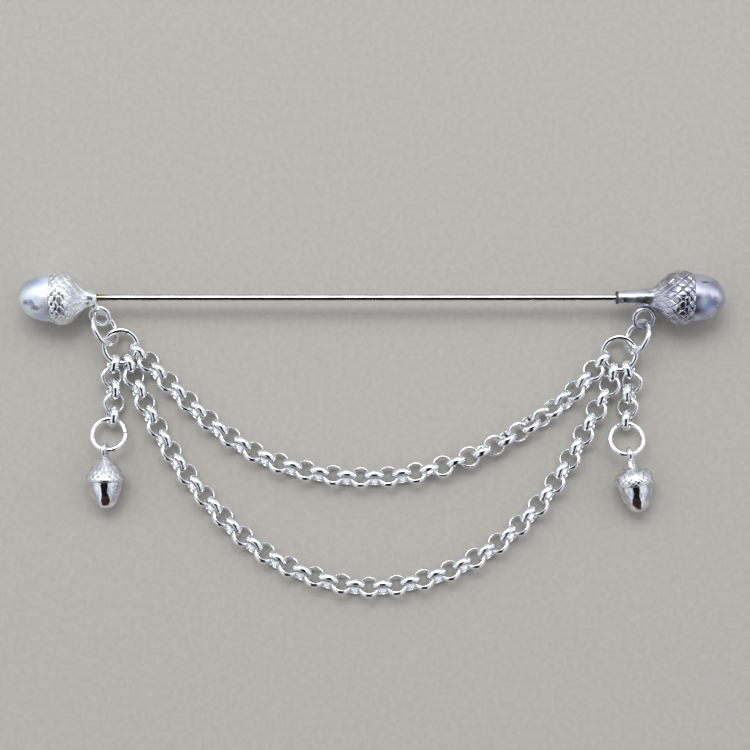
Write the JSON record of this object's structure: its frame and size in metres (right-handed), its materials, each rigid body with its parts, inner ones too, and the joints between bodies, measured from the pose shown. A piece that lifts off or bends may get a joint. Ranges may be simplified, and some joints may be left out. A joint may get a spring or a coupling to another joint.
{
  "type": "shawl pin",
  "caption": "Long steel pin with cast acorn ends, one of them a pull-off clutch, joined by two swags of belcher chain with small acorn drops.",
  "frame": {"origin": "centre of the footprint, on the table that the pin lies on", "axes": "+X along the pin from the fixed acorn to the clutch, +Y from the swags up to the pin, +Z away from the table, towards the viewer"},
  "size_m": [0.1272, 0.0594, 0.0099],
  "materials": {
    "steel": "drawn steel wire, softly polished",
    "bright_silver": "bright silver",
    "grey_silver": "silver, a little tarnished in the recesses",
    "chain_silver": "polished silver"
  },
  "bodies": {
    "root": {"pin_shaft": "steel", "left_finial_cap": "bright_silver", "left_finial_nut": "bright_silver", "clutch_cap": "grey_silver", "clutch_nut": "grey_silver", "left_link_ring": "bright_silver", "right_link_ring": "bright_silver", "left_swag_ring": "bright_silver", "right_swag_ring": "bright_silver", "left_drop_ring": "bright_silver", "right_drop_ring": "bright_silver", "upper_chain": "chain_silver", "lower_chain": "chain_silver", "left_drop_link_1": "chain_silver", "left_drop_link_2": "chain_silver", "left_drop_link_3": "chain_silver", "left_drop_link_4": "chain_silver", "left_drop_link_5": "chain_silver", "right_drop_link_1": "chain_silver", "right_drop_link_2": "chain_silver", "right_drop_link_3": "chain_silver", "right_drop_link_4": "chain_silver", "right_drop_link_5": "chain_silver", "left_drop_cap": "chain_silver", "left_drop_nut": "bright_silver", "right_drop_cap": "chain_silver", "right_drop_nut": "bright_silver"}
  },
  "joints": []
}
